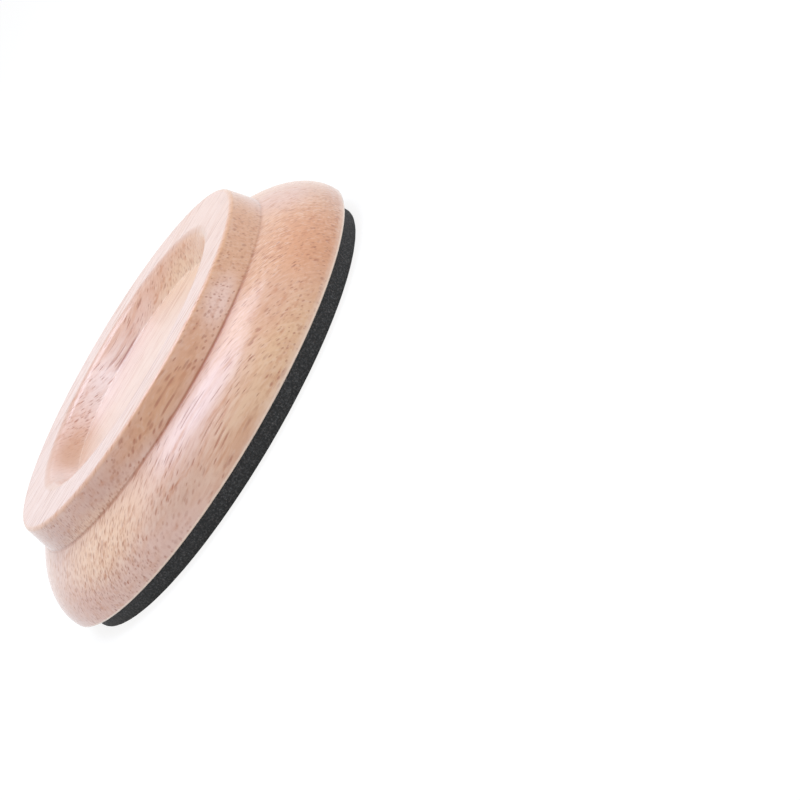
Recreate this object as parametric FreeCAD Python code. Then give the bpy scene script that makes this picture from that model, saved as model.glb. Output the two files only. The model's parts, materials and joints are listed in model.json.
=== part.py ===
import FreeCAD
import Part

import math
import os

# Castor cup: a turned wooden cup for a furniture castor or leg, on a foam pad.
# Millimetres, +Z up, with the origin at the middle of the pad's underside.
# The cup is sized from its recess outwards and from its pad upwards. Widths are measured between
# the sharp edges of the turning profile, before the edges are eased.

# Recess that takes the castor wheel or the foot of the leg.
recess_floor_diameter = 49.2
recess_depth = 4.7
recess_wall_run = 4.25        # level distance that the sloping wall covers
recess_floor_hollow = 0.6     # radius where the wall runs into the floor
recess_mouth_round = 2.8      # radius where the wall comes up to the rim

# Rim and collar around the recess.
rim_width = 9.75
rim_edge_round = 0.9
collar_height = 6.3
collar_flare = 1.4            # how far the collar's foot stands out beyond its top

# Bead that spreads out below the collar.
bead_width = 10.0
bead_height = 12.6
bead_sweep = 43.0             # degrees of its ellipse, from plumb at the base up to the collar
base_chamfer = 0.25

# Foam pad glued under the wood.
pad_thickness = 4.0
pad_setback = 2.4             # from the widest edge of the wood in to the pad's edge

# Radii, from the recess outwards.
floor_radius = recess_floor_diameter / 2
mouth_radius = floor_radius + recess_wall_run
rim_radius = mouth_radius + rim_width
collar_foot_radius = rim_radius + collar_flare
cup_radius = collar_foot_radius + bead_width
pad_radius = cup_radius - pad_setback

# Heights, from the pad upwards.
underside_height = pad_thickness
crease_height = underside_height + bead_height
top_height = crease_height + collar_height
floor_height = top_height - recess_depth

ORIGIN = FreeCAD.Vector(0, 0, 0)
UP = FreeCAD.Vector(0, 0, 1)
FULL_TURN = 360


def at(radius, height):
    """Point of the turning profile, which lies in the plane through the axis."""
    return FreeCAD.Vector(radius, 0, height)


def rounded_corner(before, corner, after, radius):
    """Arc of that radius in the corner, tangent to the sides that run to before and after."""
    to_before = (before - corner).normalize()
    to_after = (after - corner).normalize()
    half_angle = to_before.getAngle(to_after) / 2
    setback = radius / math.tan(half_angle)
    inwards = (to_before + to_after).normalize()
    middle = corner + inwards * (radius / math.sin(half_angle) - radius)
    return Part.Arc(corner + to_before * setback, middle, corner + to_after * setback)


def bead_curve(foot, crease):
    """Elliptical arc from its plumb foot up and in to the crease, as a conic with one shoulder pole."""
    sweep = math.radians(bead_sweep)
    half_height = (crease.z - foot.z) / math.sin(sweep)
    shoulder = at(foot.x, foot.z + half_height * math.tan(sweep / 2))
    poles = [foot, shoulder, crease]
    curve = Part.BezierCurve()
    curve.setPoles(poles)
    curve.setWeight(poles.index(shoulder) + 1, math.cos(sweep / 2))
    return curve


def turned_cup():
    """The wood: one closed profile turned about the axis, from the underside round to the recess floor."""
    underside_centre = at(0, underside_height)
    chamfer_foot = at(cup_radius - base_chamfer, underside_height)
    bead_foot = at(cup_radius, underside_height + base_chamfer)
    crease = at(collar_foot_radius, crease_height)
    rim_corner = at(rim_radius, top_height)
    mouth_corner = at(mouth_radius, top_height)
    floor_corner = at(floor_radius, floor_height)
    floor_centre = at(0, floor_height)

    rim_edge = rounded_corner(crease, rim_corner, mouth_corner, rim_edge_round)
    mouth = rounded_corner(rim_corner, mouth_corner, floor_corner, recess_mouth_round)
    hollow = rounded_corner(mouth_corner, floor_corner, floor_centre, recess_floor_hollow)
    profile = [
        Part.LineSegment(underside_centre, chamfer_foot),
        Part.LineSegment(chamfer_foot, bead_foot),
        bead_curve(bead_foot, crease),
        Part.LineSegment(crease, rim_edge.StartPoint),
        rim_edge,
        Part.LineSegment(rim_edge.EndPoint, mouth.StartPoint),
        mouth,
        Part.LineSegment(mouth.EndPoint, hollow.StartPoint),
        hollow,
        Part.LineSegment(hollow.EndPoint, floor_centre),
        Part.LineSegment(floor_centre, underside_centre),
    ]
    section = Part.Face(Part.Wire([curve.toShape() for curve in profile]))
    return section.revolve(ORIGIN, UP, FULL_TURN)


def foam_pad():
    """The pad: a die-cut disc with square edges, face to face with the wood's underside."""
    return Part.makeCylinder(pad_radius, pad_thickness)


def main():
    os.makedirs("parts", exist_ok=True)
    for make in (turned_cup, foam_pad):
        make().exportStep(f"parts/{make.__name__}.step")


main()
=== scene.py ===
# %% [markdown]
# A castor cup keeps the wheel or leg of a heavy piece of furniture in place and off the floor.
# It is one block of pale hardwood, turned on a lathe and varnished, with a disc of black foam
# glued underneath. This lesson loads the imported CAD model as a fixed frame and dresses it: the
# two pieces are modelled again with fine, smooth meshes, and each gets its own material.

# %% Load the frame
import json
import math

import bmesh
import bpy
from mathutils import Matrix, Vector, noise


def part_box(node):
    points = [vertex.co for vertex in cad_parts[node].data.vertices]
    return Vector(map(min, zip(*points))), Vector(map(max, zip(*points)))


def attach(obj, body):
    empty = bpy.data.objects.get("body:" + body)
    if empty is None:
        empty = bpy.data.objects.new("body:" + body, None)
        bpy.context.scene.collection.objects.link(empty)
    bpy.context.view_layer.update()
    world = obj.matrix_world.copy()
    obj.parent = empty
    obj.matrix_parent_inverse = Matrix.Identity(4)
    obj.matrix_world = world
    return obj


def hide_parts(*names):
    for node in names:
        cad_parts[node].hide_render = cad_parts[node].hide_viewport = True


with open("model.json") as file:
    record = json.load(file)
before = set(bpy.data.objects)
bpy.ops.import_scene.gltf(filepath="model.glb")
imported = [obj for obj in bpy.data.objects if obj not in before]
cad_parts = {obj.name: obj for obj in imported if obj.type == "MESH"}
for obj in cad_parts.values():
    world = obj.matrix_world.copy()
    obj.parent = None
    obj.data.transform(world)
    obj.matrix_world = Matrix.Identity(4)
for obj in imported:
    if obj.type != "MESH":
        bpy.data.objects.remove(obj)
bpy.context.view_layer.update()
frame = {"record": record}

# %% [markdown]
# Every size comes from the frame where the frame has it: the boxes of the two nodes give the
# widest radius and the heights, and the mount in the recess gives the level of its floor. The
# widths of the turning between those limits are the cup's own dimensions, in metres.

# %% Sizes of the turning
MM = 0.001
RECESS_WALL_RUN = 4.25 * MM
RIM_WIDTH = 9.75 * MM
COLLAR_FLARE = 1.4 * MM
BEAD_HEIGHT = 12.6 * MM

cup_low, cup_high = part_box("turned_cup")
pad_low, pad_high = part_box("foam_pad")
mounts = {mount["name"]: mount for mount in frame["record"]["mounts"]}

cup_radius = cup_high.x
underside = cup_low.z
top = cup_high.z
recess_floor = mounts["recess_floor"]["pos_m"][2]
floor_radius = 24.6 * MM
mouth_radius = floor_radius + RECESS_WALL_RUN
rim_radius = mouth_radius + RIM_WIDTH
collar_foot_radius = rim_radius + COLLAR_FLARE
crease = underside + BEAD_HEIGHT
print("cup radius", cup_radius, "from", underside, "to", top, "recess floor at", recess_floor)

# %% [markdown]
# A turned piece is a profile carried round an axis, so it starts as a line of vertices: half of
# the cup's section, from the middle of the underside, out and up over the bead and the collar,
# and down into the recess. The bead is part of an ellipse that stands plumb at the base, which a
# formula gives. The other corners are drawn sharp and then eased by a bevel of the line itself,
# which is easier to steer than a bevel of finished rings.

# %% Profile of the cup
BEAD_SWEEP = math.radians(43)
BEAD_STEPS = 30
BASE_EASE = 0.25 * MM


def bead_points():
    """Points of the bead from its plumb foot up to just below the crease."""
    foot = underside + BASE_EASE
    half_height = (crease - foot) / math.sin(BEAD_SWEEP)
    half_width = (cup_radius - collar_foot_radius) / (1 - math.cos(BEAD_SWEEP))
    turns = [BEAD_SWEEP * step / BEAD_STEPS for step in range(BEAD_STEPS)]
    return [
        (cup_radius - half_width * (1 - math.cos(turn)), foot + half_height * math.sin(turn))
        for turn in turns
    ]


def wire(shape, points):
    """A line of edges through (radius, height) points, and its vertices."""
    verts = [shape.verts.new((radius, 0, height)) for radius, height in points]
    for pair in zip(verts, verts[1:]):
        shape.edges.new(pair)
    return verts


def ease(shape, corner, setback, segments):
    """Rounds one corner of the line, from setback before it to setback after it."""
    bmesh.ops.bevel(
        shape, geom=[corner], offset=setback, offset_type="OFFSET",
        segments=segments, profile=0.5, affect="VERTICES", material=-1,
    )


cup_shape = bmesh.new()
corners = wire(cup_shape, [
    (0, underside),
    (cup_radius - BASE_EASE, underside),
    *bead_points(),
    (collar_foot_radius, crease),
    (rim_radius, top),
    (mouth_radius, top),
    (floor_radius, recess_floor),
    (0, recess_floor),
])
rim_corner, mouth_corner, floor_corner = corners[-4:-1]
ease(cup_shape, rim_corner, setback=0.72 * MM, segments=8)
ease(cup_shape, mouth_corner, setback=1.25 * MM, segments=10)
ease(cup_shape, floor_corner, setback=0.27 * MM, segments=5)
print("profile of", len(cup_shape.verts), "points")

# %% [markdown]
# Spin turns the line into a solid of revolution. The two ends lie on the axis, so their copies
# are merged into one pole each, and the normals are then made to point outwards. Weighted
# normals keep the level faces level right up to the eased edges, and the crease under the collar
# is marked sharp, so that it stays one.

# %% Turn the cup
AXIS = Vector((0, 0, 1))
CENTRE = Vector((0, 0, 0))
TURN_STEPS = 288
MERGE_DISTANCE = 1e-7


def turn(shape):
    """Spins the line of the profile into a closed skin with its faces outwards."""
    bmesh.ops.spin(
        shape, geom=shape.verts[:] + shape.edges[:], cent=CENTRE, axis=AXIS, dvec=CENTRE,
        angle=math.tau, steps=TURN_STEPS, use_merge=True, use_duplicate=False,
    )
    bmesh.ops.remove_doubles(shape, verts=shape.verts[:], dist=MERGE_DISTANCE)
    bmesh.ops.recalc_face_normals(shape, faces=shape.faces[:])


def sharpen(shape, radius, height, reach=0.01 * MM):
    """Marks the ring of edges at that radius and height as a sharp crease."""
    ring = Vector((radius, height))
    for edge in shape.edges:
        ends = [Vector((math.hypot(vert.co.x, vert.co.y), vert.co.z)) for vert in edge.verts]
        edge.smooth = max((end - ring).length for end in ends) > reach


def finished(shape, name, node):
    """Makes the bmesh an object that stands for its CAD node on the one body of the part."""
    mesh = bpy.data.meshes.new(name)
    shape.to_mesh(mesh)
    shape.free()
    mesh.shade_smooth()
    piece = bpy.data.objects.new(name, mesh)
    bpy.context.scene.collection.objects.link(piece)
    weighted = piece.modifiers.new("level_faces", "WEIGHTED_NORMAL")
    weighted.keep_sharp = True
    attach(piece, "root")
    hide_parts(node)
    print(name, "has", len(mesh.polygons), "faces")
    return piece


turn(cup_shape)
sharpen(cup_shape, collar_foot_radius, crease)
cup = finished(cup_shape, "turned_wood", "turned_cup")

# %% [markdown]
# The pad is stamped out of a sheet of foam. Its edge is square, but foam gives under the cutter,
# so the wall is a little uneven. A turned disc with a fine wall is enough, and a gentle noise
# moves the wall's rings in and out by a few hundredths of a millimetre.

# %% Foam pad
PAD_WALL_ROWS = 12
PAD_EASE = 0.1 * MM
PAD_WOBBLE = 0.05 * MM
PAD_WOBBLE_SIZE = 2.5 * MM

pad_radius = pad_high.x
pad_foot = pad_low.z
pad_top = pad_high.z
pad_shape = bmesh.new()
wall = [
    (pad_radius, pad_foot + (pad_top - pad_foot) * row / PAD_WALL_ROWS)
    for row in range(PAD_WALL_ROWS + 1)
]
pad_line = wire(pad_shape, [(0, pad_foot), *wall, (0, pad_top)])
for corner in (pad_line[1], pad_line[-2]):
    ease(pad_shape, corner, setback=PAD_EASE, segments=3)
turn(pad_shape)
for vert in pad_shape.verts:
    outwards = Vector((vert.co.x, vert.co.y, 0))
    if outwards.length > pad_radius / 2:
        vert.co += outwards.normalized() * PAD_WOBBLE * noise.noise(vert.co / PAD_WOBBLE_SIZE)
pad = finished(pad_shape, "black_foam_pad", "foam_pad")

# %% [markdown]
# Shader maths reads best as plain sums. A small class wraps a socket and overloads the operators,
# so that an expression adds the Math nodes that it stands for. Any other node comes from one
# method, which sets the node's settings first and then the values or links of its sockets.

# %% Sockets that can be added and multiplied
class Field:
    """An output socket, as a value that an expression can hold."""

    def __init__(self, paint, socket):
        self.paint = paint
        self.socket = socket

    def combine(self, operation, first, second):
        settings = {"operation": operation}
        return self.paint.node("ShaderNodeMath", settings, {0: first, 1: second}, "Value")

    def __add__(self, other):
        return self.combine("ADD", self, other)

    def __sub__(self, other):
        return self.combine("SUBTRACT", self, other)

    def __rsub__(self, other):
        return self.combine("SUBTRACT", other, self)

    def __mul__(self, other):
        return self.combine("MULTIPLY", self, other)

    def __truediv__(self, other):
        return self.combine("DIVIDE", self, other)

    __radd__ = __add__
    __rmul__ = __mul__


class Paint:
    """The nodes of one material or world, with the tools to add more."""

    def __init__(self, owner):
        owner.use_nodes = True
        self.tree = owner.node_tree
        self.tree.nodes.clear()

    def node(self, kind, settings, inputs, output=None):
        """Adds a node, sets its settings and then its sockets, and gives one output as a Field."""
        made = self.tree.nodes.new(kind)
        for name, value in settings.items():
            setattr(made, name, value)
        by_identifier = {socket.identifier: socket for socket in made.inputs}
        for name, value in inputs.items():
            socket = by_identifier.get(name) or made.inputs[name]
            if isinstance(value, Field):
                self.tree.links.new(value.socket, socket)
            else:
                socket.default_value = value
        fields = {socket.identifier: Field(self, socket) for socket in made.outputs}
        return fields.get(output)


# %% [markdown]
# A few patterns are used again and again: a place in the block, soft clouds, scattered points, a
# smooth step from 0 to 1 and a mix of two colours. Each is one short function. All of them read
# Object coordinates, so a pattern stays in the block whatever the shape of its surface.

# %% Patterns
def object_place(paint):
    """The point of the block that is being shaded, in metres."""
    return paint.node("ShaderNodeTexCoord", {}, {}, "Object")


def axes(paint, place):
    """The three coordinates of a place."""
    return [paint.node("ShaderNodeSeparateXYZ", {}, {"Vector": place}, axis) for axis in "XYZ"]


def fitted(paint, place, size, shift=(0, 0, 0)):
    """A place measured in cells of that size in millimetres along X, Y and Z."""
    scale = [1 / (length * MM) for length in size]
    inputs = {"Vector": place, "Location": shift, "Scale": scale}
    return paint.node("ShaderNodeMapping", {"vector_type": "POINT"}, inputs, "Vector")


def clouds(paint, place, detail=2.0, roughness=0.5, output="Fac"):
    """Soft noise around 0.5, with features about one cell across."""
    inputs = {"Vector": place, "Scale": 1.0, "Detail": detail, "Roughness": roughness}
    return paint.node("ShaderNodeTexNoise", {"noise_dimensions": "3D"}, inputs, output)


def points(paint, place, dimensions="3D"):
    """One random point in each cell: the distance to the nearest, and a random number that it has."""
    settings = {"voronoi_dimensions": dimensions, "feature": "F1"}
    inputs = {"Vector": place, "Scale": 1.0, "Randomness": 1.0}
    distance = paint.node("ShaderNodeTexVoronoi", settings, inputs, "Distance")
    tint = paint.node("ShaderNodeTexVoronoi", settings, inputs, "Color")
    number = paint.node("ShaderNodeSeparateColor", {"mode": "RGB"}, {"Color": tint}, "Red")
    return distance, number


def rise(paint, value, start, end):
    """0 before start, 1 after end, and a smooth step between them."""
    settings = {"interpolation_type": "SMOOTHSTEP"}
    inputs = {"Value": value, "From Min": start, "From Max": end}
    return paint.node("ShaderNodeMapRange", settings, inputs, "Result")


def mix(paint, share, first, second):
    """The first colour where share is 0, and the second where it is 1."""
    settings = {"data_type": "RGBA", "blend_type": "MIX", "clamp_factor": True}
    inputs = {"Factor_Float": share, "A_Color": first, "B_Color": second}
    return paint.node("ShaderNodeMix", settings, inputs, "Result_Color")


def bump(paint, height, depth):
    """A normal that follows a height, where 1 is that many metres."""
    inputs = {"Strength": 1.0, "Distance": depth, "Height": height}
    return paint.node("ShaderNodeBump", {}, inputs, "Normal")


def colour(red, green, blue):
    """A colour from its 0 to 255 values on a screen, as the linear values that a shader takes."""
    def linear(value):
        share = value / 255
        return share / 12.92 if share <= 0.04045 else ((share + 0.055) / 1.055) ** 2.4
    return (linear(red), linear(green), linear(blue), 1.0)


# %% [markdown]
# The wood is a solid texture, because the grain runs through the block and the lathe only shows
# it. Fibres and pores run along X with a slow drift. A pore is a long thin tube, so it is a point
# in the plane across the grain, carried along X and faded in and out. Where the surface runs with
# the grain the tubes show as dashes, and where it cuts across them, towards the two ends, as short
# strokes and dots. Pores lie in short upright chains, so their cells are taller than wide.

# %% Grain and pores
DRIFT = (0, 2.6 * MM, 2.6 * MM)
DRIFT_CELL = (40, 14, 14)
TUBE_STARTS = 61         # how far apart, in runs, the tubes can start
TUBE_LANES = 37          # how far apart their noise is read, so that no two are alike


def drifted(paint, place):
    """The place in the block, moved across the grain by up to about a millimetre along its length."""
    slow = clouds(paint, fitted(paint, place, DRIFT_CELL), output="Color")
    settings = {"operation": "MULTIPLY_ADD"}
    return paint.node("ShaderNodeVectorMath", settings, {0: slow, 1: DRIFT, 2: place}, "Vector")


def pores(paint, grain, width, height, run, girth):
    """Tubes along X, 1 inside and 0 outside, in cells of that width and height in millimetres.

    A tube comes and goes along its run, also in millimetres, and its girth is a share of the cell.
    """
    along, across, up = axes(paint, grain)
    inputs = {"X": across / (width * MM), "Y": up / (height * MM)}
    cell = paint.node("ShaderNodeCombineXYZ", {}, inputs, "Vector")
    distance, number = points(paint, cell, "2D")
    inputs = {"X": along / (run * MM) + number * TUBE_STARTS, "Y": number * TUBE_LANES}
    stretch = paint.node("ShaderNodeCombineXYZ", {}, inputs, "Vector")
    there = rise(paint, clouds(paint, stretch, detail=1.0), 0.42, 0.6)
    edge = distance / (girth * (0.6 + 0.8 * number))
    return (1 - rise(paint, edge, 0.35, 1.0)) * there


# %% [markdown]
# The colour is built up from the large to the small. It starts with rose wood at one end of the
# block and tan at the other, a paler tone painted on the level rim as a reflection, and soft
# patches that are placed where this block shows them. Most patches are tones of the wood; a few
# are painted light: a highlight on the collar, a sheen along the bead, a reflection on the floor
# of the recess and shade on the mouth at the rose end. A patch is a ball in the block, stretched
# along the axes, so it fades out in depth as well as along the surface.

# %% Colour of the block
ROSE_WOOD = colour(236, 195, 178)
TAN_WOOD = colour(232, 178, 140)
# The paler tone of the rim is a painted reflection of the white room in the varnish.
RIM_SHEEN_PAINT = colour(239, 206, 198)
RIM_SHEEN_DEPTH = 0.5 * MM
TAN_RUN = 60 * MM
BROAD_CELL = (40, 17, 13)
BROAD_SHIFT = (2.3, 0.4, 0.8)
WOOD_AND_LIGHT_PATCHES = (
    # middle of the patch and its reach along X, Y and Z in millimetres, colour, strength
    ((-46, -18, 8), (14, 18, 7), (222, 168, 150), 0.6),
    ((-49, -8, 6), (5, 9, 5), (200, 140, 122), 0.6),
    ((-37, -12, 19.5), (10, 17, 4.5), (206, 162, 150), 0.6),
    ((-23, -32, 21), (13, 10, 3), (196, 148, 130), 0.35),
    ((-29, -29, 15), (20, 18, 5), (250, 208, 172), 0.8),
    ((10, -46, 8), (24, 12, 6), (238, 194, 146), 0.6),
    ((-1, -50, 6), (9, 5, 3), (204, 138, 98), 0.45),
    ((38, -27, 10), (13, 15, 8), (222, 146, 96), 0.65),
    ((48, -11, 6), (6, 10, 5), (206, 138, 104), 0.6),
    ((-4, -39, 21), (13, 6, 3), (220, 164, 104), 0.45),
    ((-3, -37.5, 22), (32, 6, 3), (220, 152, 100), 0.45),
    # painted highlight on the collar
    ((20, -34, 21), (7, 7, 2.8), (250, 212, 196), 0.85),
    ((36, -13, 21), (9, 13, 3), (226, 160, 112), 0.5),
    ((-15, -45, 11.5), (11, 8, 3), (210, 166, 136), 0.5),
    # painted sheen: a lavender tint along the bead's highlight
    ((4, -41, 15.5), (11, 5, 2.5), (234, 204, 206), 0.3),
    ((24, -37, 14), (9, 6, 4), (214, 158, 124), 0.45),
    ((43, -7, 16), (7, 11, 8), (226, 182, 176), 0.5),
    ((-7, 26, 20), (14, 6, 4), (241, 214, 204), 0.75),
    ((-23, 15, 20.5), (8, 10, 4), (208, 152, 116), 0.9),
    # painted shade on the mouth of the recess at the rose end
    ((-28, 0, 22.5), (5, 9, 1.5), (214, 172, 154), 0.6),
    ((19, 14, 19), (14, 14, 4), (242, 202, 164), 0.85),
    # painted reflection: the floor of the recess made paler
    ((2, 9, 18), (22, 20, 4), (248, 222, 206), 0.65),
    ((-16, 7, 18), (9, 12, 3), (234, 198, 172), 0.8),
)


def patch(paint, place, middle, reach):
    """1 in the middle of a soft patch and 0 outside it."""
    size = [2 * length for length in reach]
    shift = [-centre / length for centre, length in zip(middle, size)]
    settings = {"gradient_type": "SPHERICAL"}
    inside = fitted(paint, place, size, shift)
    ball = paint.node("ShaderNodeTexGradient", settings, {"Vector": inside}, "Fac")
    return rise(paint, ball, 0.35, 0.85)


def wood_tone_and_painted_light(wood, place, grain):
    """The wood's colour before the grain, with its painted reflections, highlight and shade."""
    along, _, up = axes(wood, place)
    broad = clouds(wood, fitted(wood, grain, BROAD_CELL, BROAD_SHIFT))
    tan = rise(wood, along / TAN_RUN + 1.2 * broad, 0.4, 1.1)
    base = mix(wood, tan, ROSE_WOOD, TAN_WOOD)
    # Painted reflection: the top of the level rim is made paler.
    base = mix(wood, rise(wood, up, top - RIM_SHEEN_DEPTH, top) * 0.6, base, RIM_SHEEN_PAINT)
    for middle, reach, tint, strength in WOOD_AND_LIGHT_PATCHES:
        base = mix(wood, patch(wood, grain, middle, reach) * strength, base, colour(*tint))
    return base


print(len(WOOD_AND_LIGHT_PATCHES), "patches of colour")

# %% [markdown]
# The grain comes next: faint bands, brown smudges that lie along the pores, fibres, and then the
# fine and the bold pores. Two short tables say where it differs. It is faint where the wood is
# sanded smooth and on the floor of the recess, where the painted reflection covers it, and its
# fibres stand out, both pale and brown, where the tool tore them.

# %% Marks of the grain
BAND_BROWN = colour(214, 148, 106)
SMUDGE_BROWN = colour(198, 120, 74)
FIBRE_PALE = colour(250, 224, 206)
FIBRE_BROWN = colour(188, 120, 84)
FINE_PORE_BROWN = colour(172, 92, 58)
BOLD_PORE_BROWN = colour(164, 84, 50)
BAND_CELL = (35, 1.3, 1.3)
SMUDGE_CELL = (9, 1.7, 1.2)
SMUDGE_SHIFT = (7, 3.4, 1.7)
FIBRE_CELL = (2.5, 0.36, 0.8)
PLAIN_FIBRES = 0.35
TORN_FIBRES = 0.5
FAINT_GRAIN = (
    # middle and reach in millimetres, share of the grain that is lost
    # faded on the floor of the recess, under its painted reflection
    ((0, 0, 18), (30, 30, 1.5), 0.35),
    ((-25, 9, 21), (9, 14, 4), 0.7),
    ((-20, -46, 7), (16, 10, 4), 0.5),
    ((-24, -31, 20), (14, 10, 3.5), 0.45),
    ((-21, -38, 14), (9, 9, 3), 0.45),
)
TORN_GRAIN = (
    # middle and reach in millimetres
    ((-30, -29, 14), (22, 20, 7)),
    ((31, -26, 16), (14, 12, 3)),
    ((45, -18, 10), (8, 14, 8)),
)


def clearness(wood, place):
    """1 where the grain shows in full, and less where it is faint."""
    clear = 1
    for middle, reach, loss in FAINT_GRAIN:
        clear = clear - loss * patch(wood, place, middle, reach)
    return clear


def coarseness(wood, grain, clear):
    """How much the fibres show, which is most where they are torn."""
    coarse = PLAIN_FIBRES * clear
    for middle, reach in TORN_GRAIN:
        coarse = coarse + TORN_FIBRES * patch(wood, grain, middle, reach)
    return coarse


def grain_marks(wood, base, place, grain, smooth_end):
    """The colour with the grain in it, the fibres, and the relief of fibres and pores."""
    bands = clouds(wood, fitted(wood, grain, BAND_CELL), detail=3.0)
    smudges = clouds(wood, fitted(wood, grain, SMUDGE_CELL, SMUDGE_SHIFT), detail=3.0)
    fibres = clouds(wood, fitted(wood, grain, FIBRE_CELL))
    fine = pores(wood, grain, width=0.45, height=1.0, run=4, girth=0.35 - 0.08 * smooth_end)
    bold = pores(wood, grain, width=1.6, height=2.2, run=5, girth=0.17)
    clear = clearness(wood, place)
    coarse = coarseness(wood, grain, clear)

    pale_fibres = 1 - rise(wood, fibres, 0.3, 0.5)
    brown_fibres = rise(wood, fibres, 0.5, 0.72)
    base = mix(wood, rise(wood, bands, 0.45, 0.7) * clear * 0.4, base, BAND_BROWN)
    base = mix(wood, rise(wood, smudges, 0.55, 0.75) * clear * 0.62, base, SMUDGE_BROWN)
    base = mix(wood, pale_fibres * coarse * 0.45, base, FIBRE_PALE)
    base = mix(wood, brown_fibres * coarse * 0.7, base, FIBRE_BROWN)
    base = mix(wood, fine * clear * (0.68 - 0.13 * smooth_end), base, FINE_PORE_BROWN)
    base = mix(wood, bold * clear * 0.48, base, BOLD_PORE_BROWN)
    return base, fibres, (fibres * 0.3 - fine * 0.8 - bold) * clear


print(len(FAINT_GRAIN), "faint places and", len(TORN_GRAIN), "torn ones")

# %% [markdown]
# Last come the rings and one streak. One dark streak lies at the foot of the recess. Every other
# mark is a ring round the axis: painted shade darkens the crease under the collar, most of all in
# the middle of its length and hardly at the tan end; painted shade darkens the mouth of the recess;
# the edge of the rim is rubbed to a warmer tone; a painted highlight makes the foot paler towards
# the tan end, and its sharp edge is painted pale, partly as a highlight and partly as wood rubbed
# almost bare.

# %% Painted shade and highlights on the rings, and wear
STREAK_BROWN = colour(156, 70, 26)
# painted shade in the crease, as a soft band and a thin line
CREASE_SHADE_TAN = colour(200, 136, 100)
CREASE_SHADE_BROWN = colour(172, 88, 48)
# painted shade on the mouth of the recess
MOUTH_SHADE_TAN = colour(208, 152, 120)
RIM_AMBER = colour(230, 168, 116)
# painted highlight on the foot
FOOT_HIGHLIGHT_CREAM = colour(252, 220, 196)
# painted highlight on the foot's sharp edge, which is also rubbed pale
EDGE_HIGHLIGHT_AND_WEAR_CREAM = colour(254, 226, 200)
DARK_STREAK = ((0, 24.6, 18.5), (5, 0.5, 0.4))
CREASE_DARKENS = (-25 * MM, 10 * MM)
CREASE_FADES = (14 * MM, 34 * MM)
CREASE_LIP = 0.5 * MM
MOUTH_SETBACK = 0.4 * MM


def beside_ring(paint, place, radius, height, reach):
    """1 on a ring round the axis, and 0 from that reach away."""
    inputs = {0: place, 1: (1, 1, 0)}
    flat = paint.node("ShaderNodeVectorMath", {"operation": "MULTIPLY"}, inputs, "Vector")
    out = paint.node("ShaderNodeVectorMath", {"operation": "LENGTH"}, {0: flat}, "Value") - radius
    up = axes(paint, place)[2] - height
    return 1 - rise(paint, (out * out + up * up) / (reach * reach), 0.0, 1.0)


def ring_shade_highlights_and_wear(wood, base, place, smooth_end):
    """The colour with the streak, the painted shade and highlights of the rings, and the rubbed rim.
    """
    along, _, up = axes(wood, place)
    middle = rise(wood, along, *CREASE_DARKENS)
    dark = 0.5 + 0.5 * middle - 0.75 * rise(wood, along, *CREASE_FADES)
    below = 1 - rise(wood, up, crease, crease + CREASE_LIP)
    rings = (
        # radius, height and reach of the ring, strength, colour
        # painted shade: a soft band on the bead beside the crease
        (collar_foot_radius, crease, 2.6 * MM, below * dark * dark * 0.5, CREASE_SHADE_TAN),
        # painted shade: a thin dark line in the crease
        (collar_foot_radius, crease, 0.5 * MM, dark * 0.8, CREASE_SHADE_BROWN),
        # painted shade on the mouth of the recess
        (mouth_radius + MOUTH_SETBACK, top, 1.1 * MM, 0.55, MOUTH_SHADE_TAN),
        (rim_radius, top, 0.9 * MM, 0.4, RIM_AMBER),
        # painted highlight: the foot paler towards the tan end
        (cup_radius, underside, 1.6 * MM, smooth_end * 0.4, FOOT_HIGHLIGHT_CREAM),
        # painted highlight on the sharp edge of the foot, partly wood rubbed pale
        (cup_radius, underside, 0.65 * MM, 0.9, EDGE_HIGHLIGHT_AND_WEAR_CREAM),
    )
    base = mix(wood, patch(wood, place, *DARK_STREAK) * 0.95, base, STREAK_BROWN)
    for radius, height, reach, strength, tint in rings:
        ring = beside_ring(wood, place, radius, height, reach)
        base = mix(wood, ring * strength, base, tint)
    return base


# %% [markdown]
# A clear varnish covers the wood, which is the coat of the shader. The fibres and the pores are a
# little sunk in it, by less than a tenth of a millimetre. The pores change from one end of the
# block to the other, where the wood takes a smoother finish, and the painted highlight on the foot
# grows towards that end.

# %% Varnished wood
SMOOTH_END = (-15 * MM, 15 * MM)
RELIEF_DEPTH = 0.07 * MM


def varnished_wood():
    """Pale rose and tan hardwood with fine pores, under a clear satin varnish, with painted shade,
    highlights and reflections in its colour.
    """
    material = bpy.data.materials.new("varnished_wood")
    wood = Paint(material)
    place = object_place(wood)
    grain = drifted(wood, place)
    smooth_end = rise(wood, axes(wood, place)[0], *SMOOTH_END)

    base = wood_tone_and_painted_light(wood, place, grain)
    base, fibres, relief = grain_marks(wood, base, place, grain, smooth_end)
    base = ring_shade_highlights_and_wear(wood, base, place, smooth_end)
    surface = wood.node("ShaderNodeBsdfPrincipled", {}, {
        "Base Color": base,
        "Roughness": 0.42 + 0.2 * fibres,
        "IOR": 1.5,
        "Coat Weight": 1.0,
        "Coat Roughness": 0.2,
        "Coat IOR": 1.5,
        "Normal": bump(wood, relief, RELIEF_DEPTH),
    }, "BSDF")
    wood.node("ShaderNodeOutputMaterial", {}, {"Surface": surface})
    return material


cup.data.materials.append(varnished_wood())
print("wood of", len(cup.active_material.node_tree.nodes), "nodes")

# %% [markdown]
# Closed-cell foam is charcoal rather than black, because its cut cells scatter light. A fine
# noise gives the grain, and a few pale specks of lint cling to it.

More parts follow.
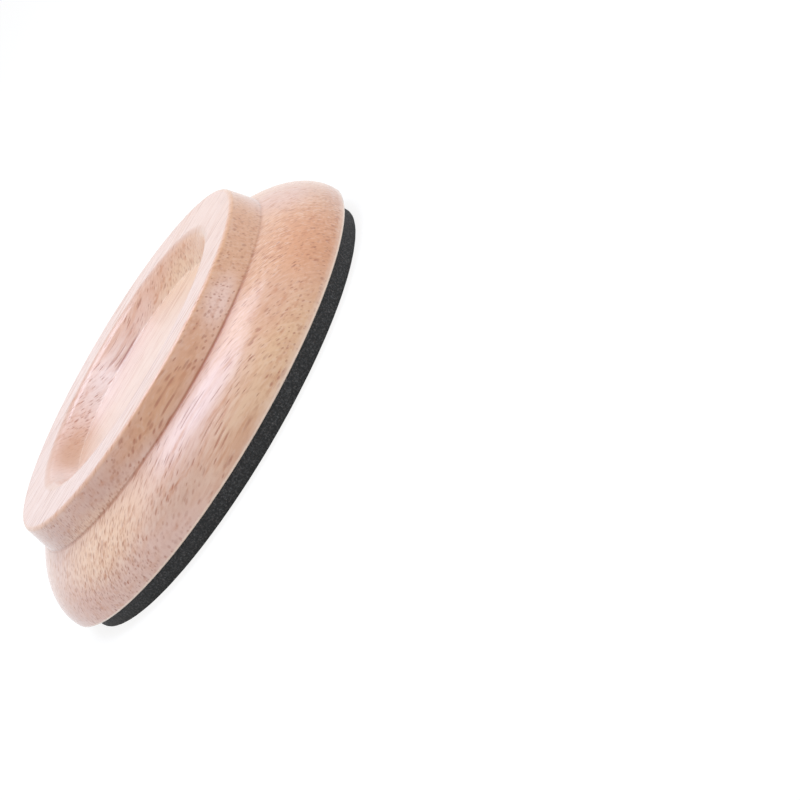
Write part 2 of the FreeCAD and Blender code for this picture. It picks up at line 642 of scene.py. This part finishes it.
# %% Black foam
FOAM_DARK = colour(53, 54, 54)
FOAM_PALE = colour(116, 117, 117)
FOAM_CLOUD = colour(60, 61, 61)
LINT = colour(176, 174, 170)
FOAM_CELL = (0.4, 0.4, 0.4)
CLOUD_CELL = (5, 5, 5)
LINT_CELL = (2.6, 2.6, 2.6)
FOAM_RELIEF = 0.12 * MM


def black_foam():
    """Matt charcoal foam with a fine grain and a few specks of lint."""
    material = bpy.data.materials.new("black_foam")
    foam = Paint(material)
    place = object_place(foam)
    cells = clouds(foam, fitted(foam, place, FOAM_CELL), detail=3.0, roughness=0.7)
    soft = clouds(foam, fitted(foam, place, CLOUD_CELL))
    distance, number = points(foam, fitted(foam, place, LINT_CELL))
    specks = (1 - rise(foam, distance, 0.03, 0.08)) * rise(foam, number, 0.5, 0.6)

    base = mix(foam, rise(foam, cells, 0.42, 0.8), FOAM_DARK, FOAM_PALE)
    base = mix(foam, soft * 0.3, base, FOAM_CLOUD)
    base = mix(foam, specks * 0.7, base, LINT)
    surface = foam.node("ShaderNodeBsdfPrincipled", {}, {
        "Base Color": base,
        "Roughness": 0.85,
        "Specular IOR Level": 0.3,
        "Normal": bump(foam, cells, FOAM_RELIEF),
    }, "BSDF")
    foam.node("ShaderNodeOutputMaterial", {}, {"Surface": surface})
    return material


pad.data.materials.append(black_foam())
print("foam of", len(pad.active_material.node_tree.nodes), "nodes")

# %% [markdown]
# The studio is plain: a white floor in an even white room. What the camera and the varnish see of
# the floor and the room is white, while the soft light that they send to the cup stays at a plain
# level. The floor still takes the cup's shadow.

# %% Floor and room
WHITE = (1, 1, 1, 1)
FLOOR_WHITE = (0.85, 0.85, 0.85, 1)
SHADOW_SHARE = (0.2, 0.2, 0.2, 1)
FLOOR_GLOW = 0.86
FLOOR_SIZE = 6.0
ROOM_LIGHT = 0.54


def seen(paint):
    """1 for rays from the camera, and for mirror-like and see-through ones, and 0 for soft light."""
    names = ("Is Camera Ray", "Is Glossy Ray", "Is Transmission Ray")
    rays = [paint.node("ShaderNodeLightPath", {}, {}, name) for name in names]
    return rays[0] + rays[1] + rays[2]


def white_floor():
    """A matt floor that is seen as white, apart from the shadow on it."""
    material = bpy.data.materials.new("white_floor")
    floor = Paint(material)
    matt = floor.node("ShaderNodeBsdfDiffuse", {}, {"Color": FLOOR_WHITE}, "BSDF")
    shade = floor.node("ShaderNodeBsdfDiffuse", {}, {"Color": SHADOW_SHARE}, "BSDF")
    glow = floor.node("ShaderNodeEmission", {}, {"Color": WHITE, "Strength": FLOOR_GLOW}, "Emission")
    bright = floor.node("ShaderNodeAddShader", {}, {0: shade, 1: glow}, "Shader")
    mixed = floor.node("ShaderNodeMixShader", {}, {0: seen(floor), 1: matt, 2: bright}, "Shader")
    floor.node("ShaderNodeOutputMaterial", {}, {"Surface": mixed})
    return material


floor_shape = bmesh.new()
bmesh.ops.create_grid(floor_shape, x_segments=1, y_segments=1, size=FLOOR_SIZE / 2)
floor_mesh = bpy.data.meshes.new("studio_floor")
floor_shape.to_mesh(floor_mesh)
floor_shape.free()
floor_mesh.materials.append(white_floor())
studio_floor = bpy.data.objects.new("studio_floor", floor_mesh)
bpy.context.scene.collection.objects.link(studio_floor)

bpy.context.scene.world = bpy.data.worlds.new("white_room")
room = Paint(bpy.context.scene.world)
light = room.node("ShaderNodeBackground", {}, {
    "Color": WHITE,
    "Strength": ROOM_LIGHT + (1 - ROOM_LIGHT) * seen(room),
}, "Background")
room.node("ShaderNodeOutputWorld", {}, {"Surface": light})
print("floor", FLOOR_SIZE, "m across, room light", ROOM_LIGHT)

# %% [markdown]
# Two soft boxes give the light a direction. The one overhead stands a little behind the cup, so
# it lights the level rim and draws a pale sheen along the bead. The weak one at the right fills
# in the collar. Both are slightly blue, like daylight.

# %% Lamps
def soft_box(name, place, size, watts, tint):
    """A square lamp that faces the cup."""
    lamp = bpy.data.lights.new(name, "AREA")
    lamp.color = tint
    lamp.shape = "SQUARE"
    lamp.size = size
    lamp.energy = watts
    holder = bpy.data.objects.new(name, lamp)
    holder.location = place
    holder.rotation_euler = (-Vector(place)).to_track_quat("-Z", "Y").to_euler()
    bpy.context.scene.collection.objects.link(holder)
    return holder


lamps = (
    soft_box("overhead", (0.07, 0.15, 0.8), size=0.6, watts=4.7, tint=(0.715, 0.815, 1.0)),
    soft_box("from_the_right", (0.7, -0.42, 0.5), size=1.0, watts=1.3, tint=(0.82, 0.88, 1.0)),
)
for lamp in lamps:
    print("lamp", lamp.name, "of", round(lamp.data.energy, 2), "W")

# %% [markdown]
# The camera looks at the front of the cup from a little above, through a long lens. The
# photograph shows the cup leaning on its edge, while the part stands flat, so the camera is
# rolled instead. It is then moved sideways until the part's origin falls on the right pixel, at
# a distance that gives the right scale there.

# %% Camera
FRAME_PIXELS = 800
CUP_PIXEL = Vector((222.6, 414.5))
PIXELS_PER_METRE = 5028.0
ELEVATION = math.radians(15.64)
ROLL = math.radians(-59.13)

lens = bpy.data.cameras.new("camera")
lens.sensor_width = 36.0
lens.lens = 119.2
focal_pixels = lens.lens / lens.sensor_width * FRAME_PIXELS
turned = Matrix.Rotation(math.pi / 2 - ELEVATION, 3, "X") @ Matrix.Rotation(ROLL, 3, "Z")
right, up, back = turned.col
depth = focal_pixels / PIXELS_PER_METRE
offset = (CUP_PIXEL - Vector((FRAME_PIXELS, FRAME_PIXELS)) / 2) / PIXELS_PER_METRE
stand = back * depth - right * offset.x + up * offset.y
camera = bpy.data.objects.new("camera", lens)
camera.matrix_world = Matrix.Translation(stand) @ turned.to_4x4()
bpy.context.scene.collection.objects.link(camera)
bpy.context.scene.camera = camera
bpy.context.scene.view_settings.view_transform = "Standard"
print("camera at", tuple(camera.matrix_world.translation))

# %% Finish
bpy.context.view_layer.update()
